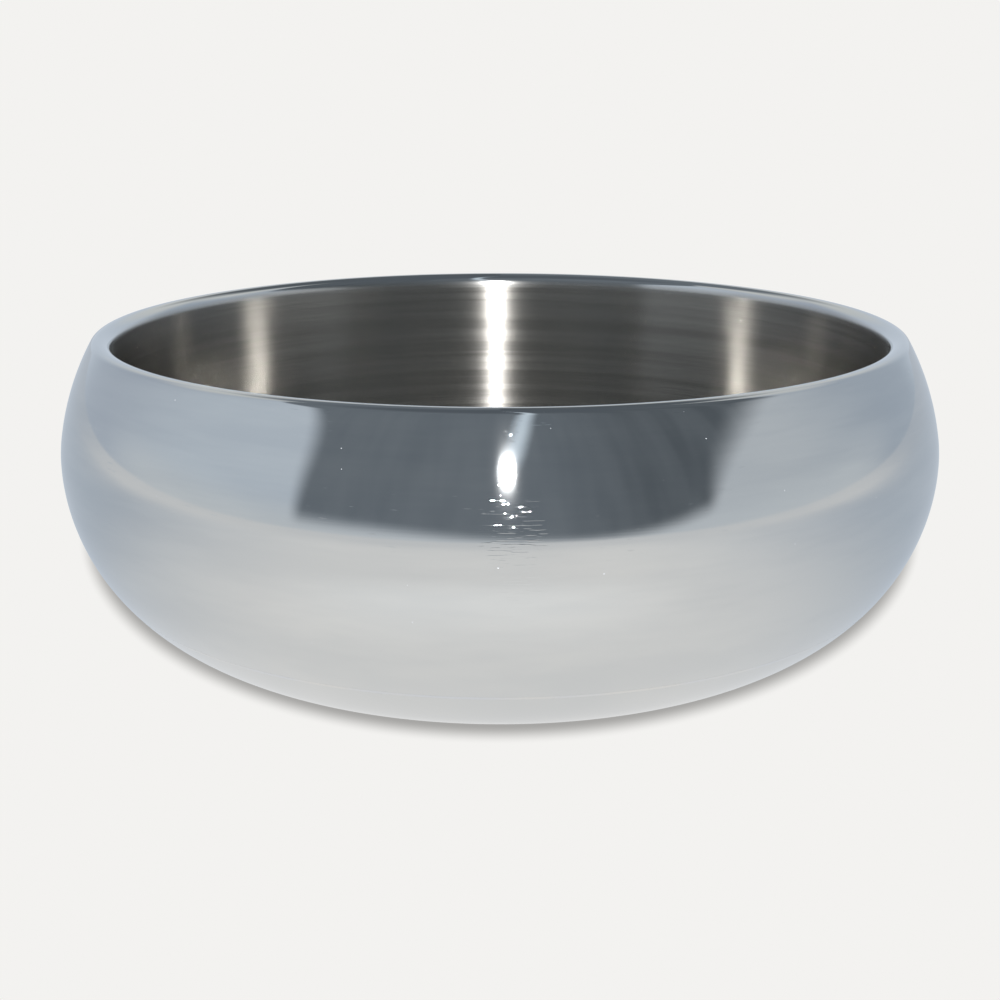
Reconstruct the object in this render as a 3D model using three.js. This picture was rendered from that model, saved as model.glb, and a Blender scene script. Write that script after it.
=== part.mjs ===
// Pedicure foot bath: a double-walled stainless steel bowl that stands on the floor.
//
// Every piece is a body of revolution about Z. Sheet-metal pieces are a path in the (radius, height)
// plane that is given a thickness and turned. Units are millimetres and +Z is up. The origin is on the
// axis, on the surface that the bowl stands on.
import * as THREE from "three";

// Driving dimensions of the outside, from the floor up.
const BASE_RADIUS = 122; // where the flat bottom turns into the flank
const FLANK_ARC = 98; // radius of the quarter round from the bottom to the belly
const BELLY_ARC = 72; // radius of the tighter turn just above the belly
const BELLY_TURN = 10; // degrees that the belly arc turns through
const SHOULDER_ARC = 132; // radius of the shoulder that leans in to the rim
const SHOULDER_TURN = 20.5; // degrees that the shoulder arc turns through
const LIP_OUTER_ARC = 4.6; // rounding of the rim on its outer side
const LIP_INNER_ARC = 6.5; // rounding of the rim on its inner side
const LIP_SKIRT = 1.6; // straight edge of the rolled rim, down to its weld

// Sheet, welds and the build-up between the walls.
const SHEET = 0.8; // thickness of both walls
const GAP = 0.3; // clearance between neighbouring solids
const WELD_WIDTH = 1.4; // width of a ground weld along the wall
const WELD_ROOT = 0.7; // how far a weld stands out behind the sheet
const PAN_SEAM_ANGLE = 38.3; // degrees below the belly where the wall meets the pan
const STAND_OFF = 1.2; // height of the pan above the floor, held by the rubber ring
const PAD_OUTER_RADIUS = 96;
const PAD_INNER_RADIUS = 24;
const PAD_THICKNESS = 6;
const PAD_EDGE_BEVEL = 1.5;
const BASIN_CORNER_ARC = 56; // inside radius between the basin's wall and its floor

// Underside details.
const GROOVE_RADIUS = 111; // middle of the groove that holds the rubber ring
const GROOVE_WIDTH = 12;
const GROOVE_DEPTH = 1.8;
const RING_BEVEL = 0.7; // bevel of the rubber ring where it meets the floor
const VENT_RECESS_RADIUS = 14; // raised middle of the pan, so that the plug is clear of the floor
const VENT_RECESS_DEPTH = 1.5;
const VENT_RADIUS = 4;
const PLUG_HEAD_RADIUS = 8;
const PLUG_HEAD_HEIGHT = 0.9;
const PLUG_BARB_OVERLAP = 0.6; // how far the plug's barb reaches past the edge of the vent
const PLUG_BARB_HEIGHT = 2.4;

const FACETS = 60; // flat faces around the axis
const PLUG_FACETS = 24;

// Sizes that follow from the driving dimensions.
const BELLY_HEIGHT = STAND_OFF + FLANK_ARC;
const LEAN = BELLY_TURN + SHOULDER_TURN; // degrees that the wall leans in where the rim begins
const PAD_BOTTOM = STAND_OFF + SHEET + GAP;
const BASIN_FLOOR = PAD_BOTTOM + PAD_THICKNESS + GAP + SHEET;

const point = (radius, height) => new THREE.Vector2(radius, height);

/** Points on an arc about a centre, from one angle to another. 0 degrees is outward and 90 is up. */
function arc(centre, radius, from, to, steps) {
  return Array.from({ length: steps + 1 }, (_, i) => {
    const angle = THREE.MathUtils.degToRad(from + ((to - from) * i) / steps);
    return point(centre.x + radius * Math.cos(angle), centre.y + radius * Math.sin(angle));
  });
}

/** An arc that carries on smoothly from the end of a path, whose normal there has the angle `from`. */
function arcOnwards(path, radius, from, to, steps) {
  const angle = THREE.MathUtils.degToRad(from);
  const centre = path.at(-1).clone().sub(point(radius * Math.cos(angle), radius * Math.sin(angle)));
  return arc(centre, radius, from, to, steps).slice(1);
}

/** The path moved to its left by a distance, with mitred corners. */
function offset(path, distance) {
  const directions = path.slice(1).map((p, i) => p.clone().sub(path[i]).normalize());
  return path.map((p, i) => {
    const arriving = directions[Math.max(i - 1, 0)];
    const leaving = directions[Math.min(i, directions.length - 1)];
    const left = point(-arriving.y, arriving.x);
    const bisector = point(-arriving.y - leaving.y, arriving.x + leaving.x).normalize();
    return p.clone().addScaledVector(bisector, distance / bisector.dot(left));
  });
}

/** Turns an outline about Z. It runs counter-clockwise, and closes on itself or starts on the axis. */
function turned(outline, facets = FACETS) {
  const startsOnAxis = outline[0].x === 0;
  const profile = startsOnAxis ? outline : [...outline, outline[0].clone()];
  return new THREE.LatheGeometry(profile, facets).rotateX(Math.PI / 2);
}

/** Sheet metal: the path is the face that shows, and the sheet lies to the path's left. */
function sheetMetal(path) {
  return turned([...offset(path, SHEET).reverse(), ...path]);
}

/** A ground weld that carries on the face that shows, from a start point in a direction. */
function bead(start, direction) {
  const left = point(-direction.y, direction.x);
  const place = (along, behind) =>
    start.clone().addScaledVector(direction, along).addScaledVector(left, behind);
  return turned([
    place(0, 0),
    place(WELD_WIDTH, 0),
    place(WELD_WIDTH, SHEET),
    place((WELD_WIDTH * 2) / 3, SHEET + WELD_ROOT),
    place(WELD_WIDTH / 3, SHEET + WELD_ROOT),
    place(0, SHEET),
  ]);
}

function piece(name, geometry, color, metalness, roughness) {
  const material = new THREE.MeshStandardMaterial({ color, metalness, roughness });
  const mesh = new THREE.Mesh(geometry, material);
  mesh.name = name;
  return mesh;
}

// The outer wall's path: up the flank, round the belly, in along the shoulder, over the rolled rim and
// down its short skirt, which ends on the line of the basin's wall.
const flankCentre = point(BASE_RADIUS, BELLY_HEIGHT);
const wallPath = arc(flankCentre, FLANK_ARC, -PAN_SEAM_ANGLE, 0, 4);
wallPath.push(...arcOnwards(wallPath, BELLY_ARC, 0, BELLY_TURN, 1));
wallPath.push(...arcOnwards(wallPath, SHOULDER_ARC, BELLY_TURN, LEAN, 3));
wallPath.push(...arcOnwards(wallPath, LIP_OUTER_ARC, LEAN, 90, 3));
wallPath.push(...arcOnwards(wallPath, LIP_INNER_ARC, 90, 180, 5));
wallPath.push(wallPath.at(-1).clone().sub(point(0, LIP_SKIRT)));
const rimEdge = wallPath.at(-1);

/** Mirror-polished outer wall, from its seam with the pan up to the edge of the rolled rim. */
function outerShell() {
  return piece("outer_shell", sheetMetal(wallPath), 0xc4c8cc, 1, 0.08);
}

/** Bead between the rolled rim and the basin. */
function rimWeld() {
  const down = point(0, -1);
  return piece("rim_weld", bead(rimEdge.clone().addScaledVector(down, GAP), down), 0xa8aaac, 1, 0.25);
}

/** Brushed basin that holds the water: straight wall, rounded corner and flat floor. */
function innerBasin() {
  const wallTop = point(rimEdge.x, rimEdge.y - GAP - WELD_WIDTH - GAP);
  const cornerCentre = point(rimEdge.x - BASIN_CORNER_ARC, BASIN_FLOOR + BASIN_CORNER_ARC);
  const corner = arc(cornerCentre, BASIN_CORNER_ARC, 0, -90, 7);
  return piece("inner_basin", sheetMetal([wallTop, ...corner, point(0, BASIN_FLOOR)]), 0x8f8f8c, 1, 0.35);
}

/** Polished bottom of the outer wall, with a ring groove and a raised middle that holds the vent. */
function bottomPan() {
  const seamWidth = GAP + WELD_WIDTH + GAP;
  const seamAngle = PAN_SEAM_ANGLE + THREE.MathUtils.radToDeg(seamWidth / FLANK_ARC);
  const recessRoof = STAND_OFF + VENT_RECESS_DEPTH;
  const grooveRoof = STAND_OFF + GROOVE_DEPTH;
  const grooveInside = GROOVE_RADIUS - GROOVE_WIDTH / 2;
  const grooveOutside = GROOVE_RADIUS + GROOVE_WIDTH / 2;
  const path = [
    point(VENT_RADIUS, recessRoof),
    point(VENT_RECESS_RADIUS - VENT_RECESS_DEPTH, recessRoof),
    point(VENT_RECESS_RADIUS, STAND_OFF),
    point(grooveInside, STAND_OFF),
    point(grooveInside, grooveRoof),
    point(grooveOutside, grooveRoof),
    point(grooveOutside, STAND_OFF),
    ...arc(flankCentre, FLANK_ARC, -90, -seamAngle, 5),
  ];
  return piece("bottom_pan", sheetMetal(path), 0xbfc3c7, 1, 0.1);
}

/** Bead between the pan and the outer wall. */
function panWeld() {
  const [start, end] = arc(
    flankCentre,
    FLANK_ARC,
    -PAN_SEAM_ANGLE - THREE.MathUtils.radToDeg((GAP + WELD_WIDTH) / FLANK_ARC),
    -PAN_SEAM_ANGLE - THREE.MathUtils.radToDeg(GAP / FLANK_ARC),
    1,
  );
  return piece("pan_weld", bead(start, end.clone().sub(start).normalize()), 0xb4b8bb, 1, 0.18);
}

/** Pad between pan and basin floor. It carries the weight of the feet and keeps the floor from drumming. */
function floorPad() {
  const top = PAD_BOTTOM + PAD_THICKNESS;
  const outline = [
    point(PAD_INNER_RADIUS, PAD_BOTTOM),
    point(PAD_OUTER_RADIUS - PAD_EDGE_BEVEL, PAD_BOTTOM),
    point(PAD_OUTER_RADIUS, PAD_BOTTOM + PAD_EDGE_BEVEL),
    point(PAD_OUTER_RADIUS, top - PAD_EDGE_BEVEL),
    point(PAD_OUTER_RADIUS - PAD_EDGE_BEVEL, top),
    point(PAD_INNER_RADIUS, top),
  ];
  return piece("floor_pad", turned(outline), 0x2b2b2d, 0, 0.9);
}

/** Rubber ring that fills the pan's groove and holds the bowl off the floor. */
function antiSlipRing() {
  const inside = GROOVE_RADIUS - GROOVE_WIDTH / 2 + GAP;
  const outside = GROOVE_RADIUS + GROOVE_WIDTH / 2 - GAP;
  const top = STAND_OFF + GROOVE_DEPTH - GAP;
  const outline = [
    point(inside + RING_BEVEL, 0),
    point(outside - RING_BEVEL, 0),
    point(outside, RING_BEVEL),
    point(outside, top),
    point(inside, top),
    point(inside, RING_BEVEL),
  ];
  return piece("anti_slip_ring", turned(outline), 0x1b1b1c, 0, 0.85);
}

/** Plug that closes the vent of the double wall: a flat head, a stem through the pan and a barb inside. */
function ventPlug() {
  const headTop = STAND_OFF + VENT_RECESS_DEPTH - GAP;
  const headBottom = headTop - PLUG_HEAD_HEIGHT;
  const barbBottom = STAND_OFF + VENT_RECESS_DEPTH + SHEET + GAP;
  const barbTop = barbBottom + PLUG_BARB_HEIGHT;
  const stem = VENT_RADIUS - GAP;
  const outline = [
    point(0, headBottom),
    point(PLUG_HEAD_RADIUS, headBottom),
    point(PLUG_HEAD_RADIUS, headTop),
    point(stem, headTop),
    point(stem, barbBottom),
    point(VENT_RADIUS + PLUG_BARB_OVERLAP, barbBottom),
    point(stem, barbTop),
    point(0, barbTop),
  ];
  return piece("vent_plug", turned(outline, PLUG_FACETS), 0x2a2a2c, 0, 0.8);
}

const footBath = new THREE.Group();
footBath.add(
  outerShell(),
  rimWeld(),
  innerBasin(),
  bottomPan(),
  panWeld(),
  floorPad(),
  antiSlipRing(),
  ventPlug(),
);

export default footBath;
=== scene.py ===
"""Pedicure foot bath in Blender: a double-walled steel bowl, mirror-polished outside and brushed inside.

The visible pieces are turned here from the same driving dimensions as the CAD solids, with many more
steps, and each one replaces its CAD solid. Units are metres and +Z is up.
"""
import math

import bpy
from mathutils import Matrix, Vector


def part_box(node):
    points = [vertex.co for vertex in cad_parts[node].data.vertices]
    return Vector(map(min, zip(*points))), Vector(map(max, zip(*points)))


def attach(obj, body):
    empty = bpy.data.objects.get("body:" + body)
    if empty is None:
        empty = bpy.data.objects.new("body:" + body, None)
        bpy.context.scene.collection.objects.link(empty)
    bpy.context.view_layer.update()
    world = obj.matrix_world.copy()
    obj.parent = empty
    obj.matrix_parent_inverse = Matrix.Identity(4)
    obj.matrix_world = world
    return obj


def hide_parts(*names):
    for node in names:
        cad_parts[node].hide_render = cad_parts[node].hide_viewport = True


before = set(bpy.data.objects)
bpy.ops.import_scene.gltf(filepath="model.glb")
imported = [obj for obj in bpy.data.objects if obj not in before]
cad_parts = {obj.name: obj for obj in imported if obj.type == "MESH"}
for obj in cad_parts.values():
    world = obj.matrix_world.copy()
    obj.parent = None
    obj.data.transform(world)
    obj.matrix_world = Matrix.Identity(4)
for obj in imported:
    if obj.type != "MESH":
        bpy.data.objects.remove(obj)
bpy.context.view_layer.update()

MM = 0.001

# Driving dimensions, the same as the CAD model's.
BASE_RADIUS = 122 * MM
FLANK_ARC = 98 * MM
BELLY_ARC = 72 * MM
BELLY_TURN = 10
SHOULDER_ARC = 132 * MM
SHOULDER_TURN = 20.5
LIP_OUTER_ARC = 4.6 * MM
LIP_INNER_ARC = 6.5 * MM
LIP_SKIRT = 1.6 * MM
SHEET = 0.8 * MM
GAP = 0.3 * MM
WELD_WIDTH = 1.4 * MM
WELD_ROOT = 0.7 * MM
HAIRLINE = 0.02 * MM  # what is left of the CAD gap beside a weld, too fine to see
PAN_SEAM_ANGLE = 38.3
STAND_OFF = 1.2 * MM
BASIN_CORNER_ARC = 56 * MM
GROOVE_RADIUS = 111 * MM
GROOVE_WIDTH = 12 * MM
GROOVE_DEPTH = 1.8 * MM
VENT_RECESS_RADIUS = 14 * MM
VENT_RECESS_DEPTH = 1.5 * MM
VENT_RADIUS = 4 * MM
PLUG_HEAD_RADIUS = 8 * MM
VENT_BARB = 0.6 * MM  # how far the plug's barb grips past the vent hole
SPIN_LINE_HEIGHT = 60.7 * MM  # a faint ridge the spinning tool left

BELLY_HEIGHT = STAND_OFF + FLANK_ARC
LEAN = BELLY_TURN + SHOULDER_TURN

TURNS = 240  # steps around the axis
PLUG_TURNS = 64
SHARP_ANGLE = 35  # edges that turn more than this are shaded as creases
ON_AXIS = 1e-9  # a point nearer to the axis than this is a pole


# ---------------------------------------------------------------- profiles

def arc(centre, radius, start, end, steps):
    """Points (radius, height) on an arc. 0 degrees is outward and 90 is up."""
    points = []
    for i in range(steps + 1):
        angle = math.radians(start + (end - start) * i / steps)
        points.append(Vector((centre[0] + radius * math.cos(angle), centre[1] + radius * math.sin(angle))))
    return points


def arc_onwards(path, radius, start, end, steps):
    """An arc that carries on smoothly from the end of a path."""
    angle = math.radians(start)
    centre = path[-1] - radius * Vector((math.cos(angle), math.sin(angle)))
    return arc(centre, radius, start, end, steps)[1:]


def offset(path, distance):
    """The path moved to its left."""
    moved = []
    for i, point in enumerate(path):
        before = path[max(i - 1, 0)]
        after = path[min(i + 1, len(path) - 1)]
        arriving = (point - before).normalized() if i > 0 else (after - point).normalized()
        leaving = (after - point).normalized() if i < len(path) - 1 else arriving
        left = Vector((-arriving.y, arriving.x))
        bisector = Vector((-arriving.y - leaving.y, arriving.x + leaving.x)).normalized()
        moved.append(point + bisector * (distance / bisector.dot(left)))
    return moved


def turned(name, outline, turns=TURNS):
    """A closed outline, counter-clockwise in (radius, height), turned about Z."""
    on_axis = [abs(point.x) < ON_AXIS for point in outline]
    vertices = []
    rings = []
    for point, is_pole in zip(outline, on_axis):
        if is_pole:
            rings.append([len(vertices)] * turns)
            vertices.append((0.0, 0.0, point.y))
            continue
        rings.append(list(range(len(vertices), len(vertices) + turns)))
        for i in range(turns):
            angle = 2 * math.pi * i / turns
            vertices.append((point.x * math.cos(angle), point.x * math.sin(angle), point.y))
    faces = []
    for k, lower in enumerate(rings):
        upper = rings[(k + 1) % len(rings)]
        if on_axis[k] and on_axis[(k + 1) % len(rings)]:
            continue
        for i in range(turns):
            j = (i + 1) % turns
            corners = [lower[i], lower[j], upper[j], upper[i]]
            faces.append(list(dict.fromkeys(corners)))
    mesh = bpy.data.meshes.new(name)
    mesh.from_pydata(vertices, [], faces)
    mesh.shade_smooth()
    mesh.set_sharp_from_angle(angle=math.radians(SHARP_ANGLE))
    obj = bpy.data.objects.new(name, mesh)
    bpy.context.scene.collection.objects.link(obj)
    return obj


def sheet_metal(name, path):
    """Sheet metal whose visible face is the path, with the sheet to the path's left."""
    return turned(name, offset(path, SHEET)[::-1] + path)


def bead(name, start, direction, crown_height):
    """A ground weld between two sheet edges, `start` being the middle of its face. Its root is behind."""
    left = Vector((-direction.y, direction.x))
    half = WELD_WIDTH / 2 + GAP - HAIRLINE

    def place(along, behind):
        return start + direction * along + left * behind

    steps = 8
    crown = []
    for i in range(steps + 1):
        share = i / steps
        crown.append(place(half * (2 * share - 1), -crown_height * math.sin(math.pi * share)))
    root = [
        place(half, SHEET),
        place(half / 3, SHEET + WELD_ROOT),
        place(-half / 3, SHEET + WELD_ROOT),
        place(-half, SHEET),
    ]
    return turned(name, crown + root)


FLANK_CENTRE = Vector((BASE_RADIUS, BELLY_HEIGHT))


def wall_path():
    """The outer wall's visible face, from its seam with the pan up and over the rolled rim."""
    path = arc(FLANK_CENTRE, FLANK_ARC, -PAN_SEAM_ANGLE, 0, 24)
    path += arc_onwards(path, BELLY_ARC, 0, BELLY_TURN, 6)
    path += arc_onwards(path, SHOULDER_ARC, BELLY_TURN, LEAN, 20)
    path += arc_onwards(path, LIP_OUTER_ARC, LEAN, 90, 12)
    path += arc_onwards(path, LIP_INNER_ARC, 90, 180, 20)
    path.append(path[-1] - Vector((0, LIP_SKIRT)))
    return path


WALL_PATH = wall_path()
RIM_EDGE = WALL_PATH[-1]


def outer_shell():
    return sheet_metal("outer_wall", WALL_PATH)


def rim_weld():
    down = Vector((0, -1))
    return bead("rim_bead", RIM_EDGE + down * (GAP + WELD_WIDTH / 2), down, 0.0)


def inner_basin():
    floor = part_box("inner_basin")[0][2] + SHEET
    top = Vector((RIM_EDGE.x, RIM_EDGE.y - GAP - WELD_WIDTH - GAP))
    centre = (RIM_EDGE.x - BASIN_CORNER_ARC, floor + BASIN_CORNER_ARC)
    wall = [top + (Vector((RIM_EDGE.x, centre[1])) - top) * i / 6 for i in range(6)]
    corner = arc(centre, BASIN_CORNER_ARC, 0, -90, 36)
    flat = [corner[-1] * (1 - i / 8) + Vector((0, floor)) * (i / 8) for i in range(1, 9)]
    return sheet_metal("basin", wall + corner + flat)


def bottom_pan():
    seam_angle = PAN_SEAM_ANGLE + math.degrees((GAP + WELD_WIDTH + GAP) / FLANK_ARC)
    inside = GROOVE_RADIUS - GROOVE_WIDTH / 2
    outside = GROOVE_RADIUS + GROOVE_WIDTH / 2
    path = [
        Vector((VENT_RADIUS, STAND_OFF + VENT_RECESS_DEPTH)),
        Vector((VENT_RECESS_RADIUS - VENT_RECESS_DEPTH, STAND_OFF + VENT_RECESS_DEPTH)),
        Vector((VENT_RECESS_RADIUS, STAND_OFF)),
        Vector((inside, STAND_OFF)),
        Vector((inside, STAND_OFF + GROOVE_DEPTH)),
        Vector((outside, STAND_OFF + GROOVE_DEPTH)),
        Vector((outside, STAND_OFF)),
    ]
    path += arc(FLANK_CENTRE, FLANK_ARC, -90, -seam_angle, 32)
    return sheet_metal("pan", path)


def pan_weld():
    angle = PAN_SEAM_ANGLE + math.degrees((GAP + WELD_WIDTH / 2) / FLANK_ARC)
    middle = arc(FLANK_CENTRE, FLANK_ARC, -angle, 0, 1)[0]
    outward = (middle - FLANK_CENTRE).normalized()
    crown_height = 0.02 * MM
    return bead("pan_bead", middle, Vector((-outward.y, outward.x)), crown_height)


def anti_slip_ring():
    inside = GROOVE_RADIUS - GROOVE_WIDTH / 2 + GAP
    outside = GROOVE_RADIUS + GROOVE_WIDTH / 2 - GAP
    top = STAND_OFF + GROOVE_DEPTH - GAP
    edge = 0.7 * MM
    outline = arc((inside + edge, edge), edge, 180, 270, 5)
    outline += arc((outside - edge, edge), edge, 270, 360, 5)
    outline += [Vector((outside, top)), Vector((inside, top))]
    return turned("rubber_ring", outline)


def vent_plug():
    low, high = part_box("vent_plug")
    head_bottom = low[2]
    head_top = STAND_OFF + VENT_RECESS_DEPTH - GAP
    barb_bottom = STAND_OFF + VENT_RECESS_DEPTH + SHEET + GAP
    stem = VENT_RADIUS - GAP
    edge = 0.4 * MM
    outline = [Vector((0, head_bottom))]
    outline += arc((PLUG_HEAD_RADIUS - edge, head_bottom + edge), edge, 270, 360, 4)
    outline += [
        Vector((PLUG_HEAD_RADIUS, head_top)),
        Vector((stem, head_top)),
        Vector((stem, barb_bottom)),
        Vector((VENT_RADIUS + VENT_BARB, barb_bottom)),
        Vector((stem, high[2])),
        Vector((0, high[2])),
    ]
    return turned("rubber_plug", outline, PLUG_TURNS)


# ---------------------------------------------------------------- materials

class Nodes:
    """A short way to write a node tree."""

    def __init__(self, tree):
        self.tree = tree
        tree.nodes.clear()

    def add(self, kind, values=None, **settings):
        node = self.tree.nodes.new(kind)
        for key, value in settings.items():
            setattr(node, key, value)
        for socket, value in (values or {}).items():
            if isinstance(value, bpy.types.NodeSocket):
                self.tree.links.new(value, node.inputs[socket])
            else:
                node.inputs[socket].default_value = value
        return node

    def math(self, operation, a, b=0.0, c=0.0, clamp=False):
        node = self.add("ShaderNodeMath", {0: a, 1: b, 2: c}, operation=operation, use_clamp=clamp)
        return node.outputs[0]

    def total(self, first, *others):
        for other in others:
            first = self.math("ADD", first, other)
        return first

    def product(self, first, *others):
        for other in others:
            first = self.math("MULTIPLY", first, other)
        return first

    def away_from(self, value, centre):
        """How far a value is from a centre, either way."""
        return self.math("ABSOLUTE", self.math("SUBTRACT", value, centre))

    def ramp(self, value, low, high, to_low=0.0, to_high=1.0, smooth=True):
        kind = "SMOOTHSTEP" if smooth else "LINEAR"
        values = {"Value": value, "From Min": low, "From Max": high, "To Min": to_low, "To Max": to_high}
        return self.add("ShaderNodeMapRange", values, interpolation_type=kind).outputs[0]

    def mix(self, share, a, b):
        values = {0: share, 6: a, 7: b}
        return self.add("ShaderNodeMix", values, data_type="RGBA").outputs[2]

    def noise(self, vector, scale, detail=2.0, roughness=0.5):
        values = {"Vector": vector, "Scale": scale, "Detail": detail, "Roughness": roughness}
        return self.add("ShaderNodeTexNoise", values).outputs[0]

    def place(self):
        """The point being shaded, in metres from the object's origin."""
        return self.add("ShaderNodeTexCoord").outputs["Object"]

    def split(self, vector):
        return self.add("ShaderNodeSeparateXYZ", {0: vector}).outputs

    def length(self, x, y):
        return self.math("SQRT", self.total(self.product(x, x), self.product(y, y)))

    def bump(self, height):
        """Relief from a height in metres."""
        return self.add("ShaderNodeBump", {"Height": height, "Strength": 1.0, "Distance": 1.0}).outputs[0]

    def round_the_axis(self):
        """A tangent that runs round Z, the way a lathe's scratches do."""
        return self.add("ShaderNodeTangent", direction_type="RADIAL", axis="Z").outputs[0]


def lathe_coordinates(nodes, around, along):
    """Coordinates that are stretched round the axis: `around` and `along` are details per metre."""
    x, y, z = nodes.split(nodes.place())
    station = nodes.math("SUBTRACT", z, nodes.length(x, y))
    values = {
        0: nodes.product(x, around),
        1: nodes.product(y, around),
        2: nodes.product(station, along),
    }
    return nodes.add("ShaderNodeCombineXYZ", values).outputs[0]


def new_material(name):
    material = bpy.data.materials.new(name)
    material.use_nodes = True
    return material, Nodes(material.node_tree)


def finish_material(nodes, shader):
    nodes.add("ShaderNodeOutputMaterial", {"Surface": shader.outputs[0]})


SMEAR_UPWARD = 0.25  # turns the anisotropic smear from round the axis to across the scratches


def scuffed_patch(nodes, x, y, z):
    """Where the front of the belly is scuffed: 1 in the middle of the patch, 0 off it."""
    middle = 5 * MM
    return nodes.product(
        nodes.ramp(nodes.away_from(x, middle), 20 * MM, 4 * MM),
        nodes.ramp(y, 0.0, -0.1),
        nodes.ramp(z, 132 * MM, 122 * MM),
    )


def polished_relief(nodes, place):
    """Rings of spinning, broad waves, hair scratches, nicks and one raised line, as a height."""
    x, y, z = nodes.split(place)
    rings = nodes.noise(lathe_coordinates(nodes, 2, 120), 1.0, 1.0, 0.5)
    waves = nodes.noise(place, 16.0, 1.0)
    scratches = nodes.noise(lathe_coordinates(nodes, 26, 1500), 1.0, 2.0, 0.6)
    nicks = nodes.noise(lathe_coordinates(nodes, 110, 1500), 1.0, 1.0)
    more_nicks = nodes.product(scuffed_patch(nodes, x, y, z), 0.16)
    nicks = nodes.ramp(nodes.total(nicks, more_nicks), 0.73, 0.83)
    spin_line = nodes.ramp(nodes.away_from(z, SPIN_LINE_HEIGHT), 0.8 * MM, 0.0)
    return nodes.total(
        nodes.product(rings, 0.012 * MM),
        nodes.product(waves, 0.03 * MM),
        nodes.product(scratches, 0.0022 * MM),
        nodes.product(nicks, 0.012 * MM),
        nodes.product(spin_line, 0.004 * MM),
    )


def dust_specks(nodes, place):
    """1 on a speck of dust and 0 elsewhere. Most cells have no speck."""
    cells = nodes.add("ShaderNodeTexVoronoi", {"Vector": place, "Scale": 150.0})
    chance = nodes.add("ShaderNodeSeparateColor", {0: cells.outputs["Color"]}).outputs[0]
    size = nodes.ramp(chance, 0.4, 1.0, 0.0, 0.045, smooth=False)
    return nodes.math("LESS_THAN", cells.outputs["Distance"], size)


def polished_steel():
    """Mirror-polished steel, with the faint rings of spinning, fine polishing scratches and dust.

    Over the lip it blends into the brushed finish of the basin.
    """
    material, nodes = new_material("polished_steel")
    place = nodes.place()
    x, y, z = nodes.split(place)
    specks = dust_specks(nodes, place)
    clouds = nodes.noise(lathe_coordinates(nodes, 9, 60), 1.0, 3.0, 0.6)
    over_lip = nodes.product(
        nodes.ramp(nodes.length(x, y), RIM_EDGE.x + 1.2 * MM, RIM_EDGE.x),
        nodes.ramp(z, 0.10, 0.12),
    )

    dull = (0.592, 0.605, 0.61, 1)
    clean = (0.64, 0.648, 0.645, 1)
    brushed_edge = (0.50, 0.49, 0.47, 1)
    dust = (0.6, 0.62, 0.65, 1)
    steel = nodes.mix(nodes.ramp(clouds, 0.3, 0.7), dull, clean)
    steel = nodes.mix(over_lip, steel, brushed_edge)

    broad = nodes.noise(place, 7.0, 2.0)
    roughness = nodes.total(
        nodes.ramp(broad, 0.3, 0.7, 0.042, 0.052),
        nodes.product(specks, 0.5),
        nodes.product(over_lip, 0.20),
    )
    values = {
        "Base Color": nodes.mix(specks, steel, dust),
        "Metallic": nodes.math("SUBTRACT", 1.0, nodes.product(specks, 0.7)),
        "Roughness": roughness,
        "Anisotropic": 0.92,
        "Anisotropic Rotation": SMEAR_UPWARD,
        "Tangent": nodes.round_the_axis(),
        "Normal": nodes.bump(polished_relief(nodes, place)),
    }
    finish_material(nodes, nodes.add("ShaderNodeBsdfPrincipled", values))
    return material


def brushed_steel():
    """Steel brushed round the axis: long fine scratches that smear reflections across them."""
    material, nodes = new_material("brushed_steel")
    fine = nodes.noise(lathe_coordinates(nodes, 12, 2600), 1.0, 2.0, 0.6)
    coarse = nodes.noise(lathe_coordinates(nodes, 3, 260), 1.0, 1.0, 0.5)
    waves = nodes.noise(nodes.place(), 30.0, 1.0)
    height = nodes.total(
        nodes.product(fine, 0.0006 * MM),
        nodes.product(coarse, 0.0025 * MM),
        nodes.product(waves, 0.10 * MM),
    )
    grain = nodes.ramp(nodes.total(coarse, fine), 0.7, 1.3)
    dull = (0.437, 0.421, 0.393, 1)
    bright = (0.50, 0.482, 0.45, 1)
    values = {
        "Base Color": nodes.mix(grain, dull, bright),
        "Metallic": 1.0,
        "Roughness": nodes.ramp(grain, 0.0, 1.0, 0.22, 0.25),
        "Anisotropic": 1.0,
        "Anisotropic Rotation": SMEAR_UPWARD,
        "Tangent": nodes.round_the_axis(),
        "Normal": nodes.bump(height),
    }
    finish_material(nodes, nodes.add("ShaderNodeBsdfPrincipled", values))
    return material


def weld_steel(name, roughness_low, roughness_high):
    """A weld ground flush: fine cross-grain ripples and slight heat tint."""
    material, nodes = new_material(name)
    place = nodes.place()
    ripple = nodes.noise(place, 500.0, 2.0)
    tint = nodes.noise(place, 30.0, 2.0)
    bump = nodes.add("ShaderNodeBump", {"Height": ripple, "Strength": 0.15, "Distance": 0.0002})
    bluish = (0.62, 0.64, 0.67, 1)
    straw = (0.66, 0.66, 0.65, 1)
    values = {
        "Base Color": nodes.mix(nodes.ramp(tint, 0.35, 0.65), bluish, straw),
        "Metallic": 1.0,
        "Roughness": nodes.ramp(ripple, 0.3, 0.7, roughness_low, roughness_high),
        "Normal": bump.outputs[0],
    }
    finish_material(nodes, nodes.add("ShaderNodeBsdfPrincipled", values))
    return material


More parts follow.
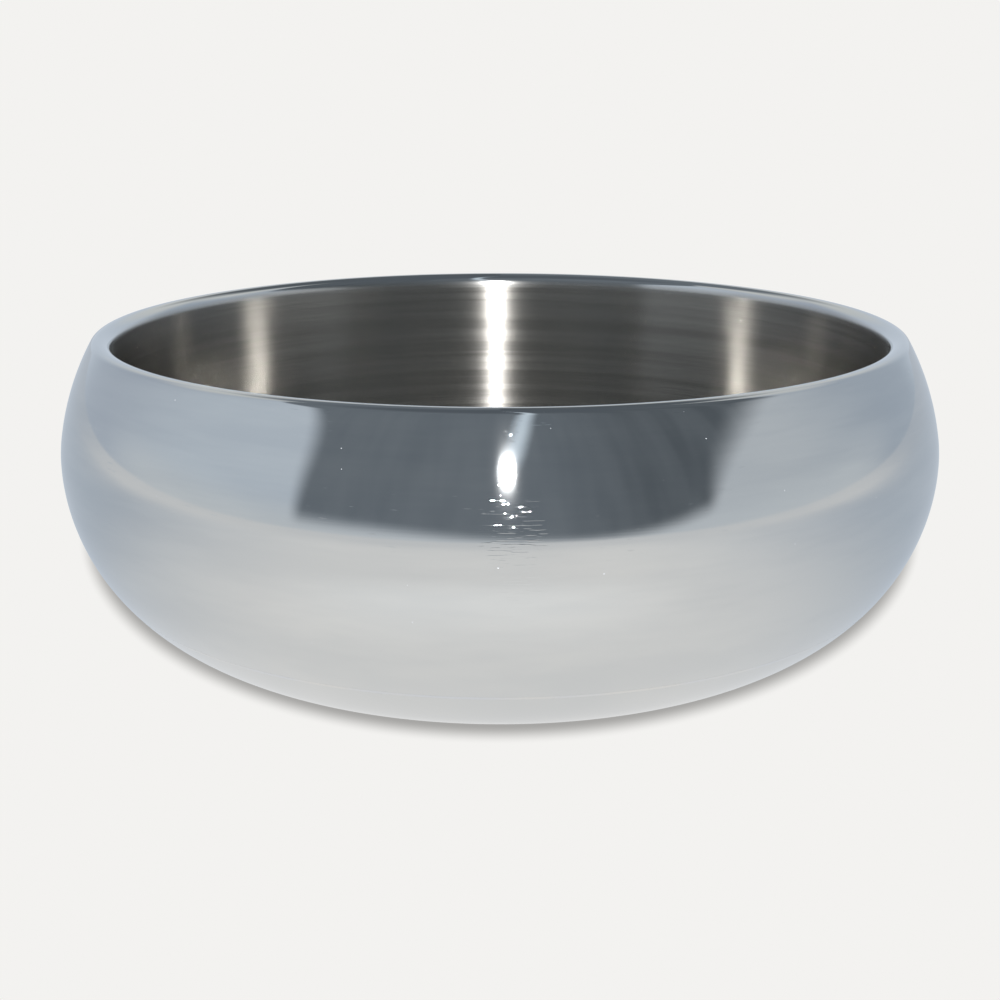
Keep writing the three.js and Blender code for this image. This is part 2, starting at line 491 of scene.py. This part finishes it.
def rubber(name, shade):
    """Moulded black rubber: fine grain, with dust that lightens it in patches."""
    material, nodes = new_material(name)
    place = nodes.place()
    grain = nodes.noise(place, 1400.0, 3.0, 0.6)
    dust = nodes.noise(place, 45.0, 3.0, 0.6)
    bump = nodes.add("ShaderNodeBump", {"Height": grain, "Strength": 0.4, "Distance": 0.0002})
    dark = (shade, shade, shade * 1.05, 1)
    dusty = (shade * 2.2, shade * 2.1, shade * 2.0, 1)
    values = {
        "Base Color": nodes.mix(nodes.ramp(dust, 0.45, 0.75), dark, dusty),
        "Roughness": nodes.ramp(dust, 0.3, 0.7, 0.62, 0.85),
        "Normal": bump.outputs[0],
    }
    finish_material(nodes, nodes.add("ShaderNodeBsdfPrincipled", values))
    return material


# ---------------------------------------------------------------- pieces

def place_piece(obj, node, material):
    obj.data.materials.append(material)
    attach(obj, "root")
    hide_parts(node)


mirror = polished_steel()
place_piece(outer_shell(), "outer_shell", mirror)
place_piece(bottom_pan(), "bottom_pan", mirror)
brushed = brushed_steel()
place_piece(inner_basin(), "inner_basin", brushed)
place_piece(rim_weld(), "rim_weld", brushed)
place_piece(pan_weld(), "pan_weld", weld_steel("pan_weld_steel", 0.08, 0.16))
place_piece(anti_slip_ring(), "anti_slip_ring", rubber("ring_rubber", 0.02))
place_piece(vent_plug(), "vent_plug", rubber("plug_rubber", 0.022))

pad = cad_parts["floor_pad"]
pad.data.materials.clear()
pad.data.materials.append(rubber("damping_pad", 0.03))


# ---------------------------------------------------------------- stage

PALE = (0.896, 0.888, 0.871, 1)  # the backdrop and the table top to the eye
# SHADE is the colour of a shadow painted on the glowing table top.
SHADE = (0.385, 0.38, 0.37, 1)  # the table top in the bowl's shadow
WHITE_LIGHT = (1.04, 1.04, 1.03, 1)
GLOW = (0.75, 0.86, 0.96, 1)

TABLE_REACH = 30  # half the table top's side
# Size and place of the painted shadow's ellipse on the table top.
SHADOW_HALF_WIDTH = 0.296
SHADOW_HALF_LENGTH = 0.554
SHADOW_MIDDLE = 0.402  # how far behind the bowl's axis the shadow's middle lies

WALL_CREST = max(point.y for point in WALL_PATH)
CAMERA_DISTANCE = 0.750
CAMERA_ABOVE_RIM = 0.1218
CAMERA_PITCH = 0.280
CAMERA_LENS = 53.2

LAMP_PLACE = Vector((0.02, -0.75, 0.411))
LAMP_TARGET = Vector((0, -0.2, 0.12))
LAMP_SIZE = 0.040
LAMP_POWER = 4.8


def degrees_round(nodes, x, y):
    """Degrees round the axis: 0 toward the front, positive to the right."""
    angle = nodes.math("ARCTAN2", x, nodes.product(y, -1.0))
    return nodes.product(angle, 180 / math.pi)


def seen_or_reflected(nodes, to_the_eye, in_reflections):
    seen = nodes.add("ShaderNodeLightPath").outputs["Is Camera Ray"]
    return nodes.mix(seen, in_reflections, to_the_eye)


def bowl_shadow(nodes, x, y):
    """The bowl's soft shadow, painted on the table top away from the lamp: an ellipse that fades toward the
    back.
    """
    across = nodes.math("DIVIDE", x, SHADOW_HALF_WIDTH)
    behind = nodes.math("DIVIDE", nodes.math("SUBTRACT", y, SHADOW_MIDDLE), SHADOW_HALF_LENGTH)
    inside = nodes.ramp(nodes.length(across, behind), 1.018, 0.982)
    return nodes.product(inside, nodes.ramp(y, 0.22, 0.08))


def reflected_table_top(nodes, x, y):
    """Painted light and shade that the steel sees on the table top: brightest in front, greyer round the
    sides.
    """
    around = nodes.math("ABSOLUTE", nodes.total(degrees_round(nodes, x, y), 4.0))
    reach = nodes.length(x, y)
    # Painted tones: front, side, far_front and far_back are painted falloff of light; the foot colours are
    # painted shade.
    front = (0.92, 0.915, 0.905, 1)
    side = (0.53, 0.59, 0.665, 1)
    front_foot_shade = (0.74, 0.745, 0.75, 1)
    side_foot_shade = (0.60, 0.635, 0.67, 1)
    far_front = (0.80, 0.81, 0.82, 1)
    far_back = (0.53, 0.58, 0.645, 1)

    near = nodes.mix(nodes.ramp(around, 22.0, 102.0), front, side)
    foot = nodes.mix(nodes.ramp(around, 25.0, 80.0), front_foot_shade, side_foot_shade)
    # Painted shade where the table top meets the bowl's foot.
    near = nodes.mix(nodes.ramp(reach, 0.20, 0.12), near, foot)
    # A painted pool of light on the table top in front of the bowl.
    painted_light_pool = nodes.product(nodes.ramp(nodes.away_from(reach, 0.34), 0.12, 0.0), nodes.ramp(around, 42.0, 8.0))
    near = nodes.mix(painted_light_pool, near, WHITE_LIGHT)
    far = nodes.mix(nodes.ramp(around, 95.0, 130.0), far_front, far_back)
    return nodes.mix(nodes.ramp(reach, 0.5, 2.5), near, far)


def table_top():
    """A pale table top that glows, with the bowl's shadow painted on it and painted tones that show only in
    reflections.
    """
    far = TABLE_REACH
    mesh = bpy.data.meshes.new("table_top")
    mesh.from_pydata([(-far, -far, 0), (far, -far, 0), (far, far, 0), (-far, far, 0)], [], [(0, 1, 2, 3)])
    obj = bpy.data.objects.new("table_top", mesh)
    bpy.context.scene.collection.objects.link(obj)
    material, nodes = new_material("table_top")
    x, y, _ = nodes.split(nodes.place())
    # The bowl's shadow is painted into the table top's colour here.
    table_with_painted_shadow = nodes.mix(bowl_shadow(nodes, x, y), PALE, SHADE)
    color = seen_or_reflected(nodes, table_with_painted_shadow, reflected_table_top(nodes, x, y))
    finish_material(nodes, nodes.add("ShaderNodeEmission", {"Color": color, "Strength": 1.0}))
    mesh.materials.append(material)


def room_walls(nodes, side, around, rise):
    """The light room round the bowl. `side` and `around` are degrees round the axis, `rise` degrees up."""
    left_front = (0.63, 0.70, 0.78, 1)
    left_back = (0.50, 0.56, 0.645, 1)
    right_front = (0.62, 0.665, 0.71, 1)
    right_back = (0.465, 0.53, 0.61, 1)
    back_low = (0.62, 0.69, 0.78, 1)
    back_high = (0.74, 0.765, 0.765, 1)
    horizon = (0.70, 0.745, 0.785, 1)

    left_wall = nodes.mix(nodes.ramp(around, 80.0, 128.0), left_front, left_back)
    right_wall = nodes.mix(nodes.ramp(around, 70.0, 122.0), right_front, right_back)
    room = nodes.mix(nodes.ramp(side, -30.0, 30.0), left_wall, right_wall)
    back_wall = nodes.mix(nodes.ramp(rise, 12.0, 30.0), back_low, back_high)
    behind = nodes.ramp(around, 132.0, 156.0)
    high = nodes.product(nodes.ramp(rise, 30.0, 45.0), nodes.ramp(around, 98.0, 125.0))
    room = nodes.mix(nodes.math("MAXIMUM", behind, high), room, back_wall)
    level = nodes.product(nodes.ramp(rise, 12.0, 0.0), nodes.ramp(around, 118.0, 92.0))
    return nodes.mix(level, room, horizon)


def screen_cloth(nodes, side, rise):
    """The dark cloth of the screen, darker to the right and overhead, with faint upright folds."""
    left = (0.178, 0.206, 0.236, 1)
    right = (0.112, 0.130, 0.148, 1)
    fold = (0.26, 0.29, 0.32, 1)
    overhead = (0.125, 0.145, 0.168, 1)
    upright = nodes.add("ShaderNodeCombineXYZ", {0: nodes.product(side, 0.12), 1: nodes.product(rise, 0.02)})
    folds = nodes.ramp(nodes.noise(upright.outputs[0], 1.0, 2.0), 0.3, 0.7, 0.0, 0.25)
    cloth = nodes.mix(nodes.ramp(side, 5.0, 46.0), left, right)
    cloth = nodes.mix(folds, cloth, fold)
    return nodes.mix(nodes.ramp(rise, 58.0, 76.0), cloth, overhead)


def side_edge(nodes, past, softness):
    """1 on the screen and 0 past its edge; `past` is how many degrees outside the edge a direction lies."""
    return nodes.ramp(nodes.math("DIVIDE", past, softness), 1.0, -1.0)


def screen_shape(nodes, side, around, rise):
    """1 where the screen is: upright in front, wider toward its top, and carried on overhead to the back."""
    height = nodes.math("MAXIMUM", rise, 0.0)
    flare = 130.0

    left_flare = nodes.product(nodes.math("POWER", nodes.math("DIVIDE", height, 66.0), 6.0), flare)
    left_past = nodes.math("SUBTRACT", nodes.math("SUBTRACT", -50.0, side), left_flare)
    left = side_edge(nodes, left_past, nodes.total(nodes.product(height, 0.06), 2.0))

    right_flare = nodes.product(nodes.math("POWER", nodes.math("DIVIDE", height, 62.0), 2.8), flare)
    right_past = nodes.math("SUBTRACT", nodes.math("SUBTRACT", side, 52.5), right_flare)
    right = side_edge(nodes, right_past, nodes.total(nodes.product(height, height, 0.0105), 1.8))

    rightward = nodes.math("MAXIMUM", nodes.math("SUBTRACT", side, 20.0), 0.0)
    foot = nodes.product(nodes.math("POWER", nodes.math("DIVIDE", rightward, 30.0), 2.0), 6.0)
    foot = nodes.total(foot, nodes.ramp(side, -35.0, 18.0, 3.8, 0.1))
    above_foot = nodes.ramp(nodes.math("SUBTRACT", rise, foot), -3.2, 4.0)

    ceiling = nodes.ramp(around, 115.0, 148.0, 61.0, 45.0)
    ceiling = nodes.math("SUBTRACT", ceiling, nodes.ramp(around, 145.0, 178.0, 0.0, 13.0))
    overhead = nodes.ramp(nodes.math("SUBTRACT", rise, ceiling), -6.0, 8.0)
    return nodes.math("MAXIMUM", nodes.product(left, right, above_foot), overhead)


def leaning_glow(nodes, side, rise):
    """A strip of light on the screen that leans to the right as it rises."""
    middle = nodes.total(nodes.product(nodes.math("SUBTRACT", rise, 27.0), 0.28), 2.0)
    return nodes.product(nodes.ramp(nodes.away_from(side, middle), 4.5, 0.0), nodes.ramp(rise, 22.0, 34.0))


def studio():
    """A pale backdrop to the eye; in reflections a light room with a dark screen in front and overhead."""
    world = bpy.data.worlds.new("studio")
    world.use_nodes = True
    bpy.context.scene.world = world
    nodes = Nodes(world.node_tree)
    x, y, z = nodes.split(nodes.add("ShaderNodeTexCoord").outputs["Generated"])
    side = degrees_round(nodes, x, y)
    around = nodes.math("ABSOLUTE", side)
    rise = nodes.product(nodes.math("ARCSINE", z), 180 / math.pi)

    room = room_walls(nodes, side, around, rise)
    room = nodes.mix(screen_shape(nodes, side, around, rise), room, screen_cloth(nodes, side, rise))
    room = nodes.mix(leaning_glow(nodes, side, rise), room, GLOW)
    color = seen_or_reflected(nodes, PALE, room)
    background = nodes.add("ShaderNodeBackground", {"Color": color, "Strength": 1.0})
    nodes.add("ShaderNodeOutputWorld", {"Surface": background.outputs[0]})


def lamp():
    """A small bright lamp in front and above."""
    data = bpy.data.lights.new("key", "AREA")
    data.shape = "DISK"
    data.size = LAMP_SIZE
    data.energy = LAMP_POWER
    obj = bpy.data.objects.new("key", data)
    obj.location = LAMP_PLACE
    obj.rotation_mode = "QUATERNION"
    obj.rotation_quaternion = (LAMP_TARGET - LAMP_PLACE).to_track_quat("-Z", "Y")
    obj.visible_camera = False
    bpy.context.scene.collection.objects.link(obj)


def camera():
    data = bpy.data.cameras.new("camera")
    data.sensor_width = 36
    data.lens = CAMERA_LENS
    obj = bpy.data.objects.new("camera", data)
    obj.location = (0.0, -CAMERA_DISTANCE, WALL_CREST + CAMERA_ABOVE_RIM)
    obj.rotation_euler = (math.pi / 2 - CAMERA_PITCH, 0, 0)
    bpy.context.scene.collection.objects.link(obj)
    bpy.context.scene.camera = obj


camera()
table_top()
studio()
lamp()

scene = bpy.context.scene
scene.view_settings.view_transform = "Standard"
scene.view_settings.look = "None"
scene.cycles.use_denoising = True
scene.cycles.max_bounces = 24
scene.cycles.glossy_bounces = 24
scene.cycles.sample_clamp_indirect = 0.0
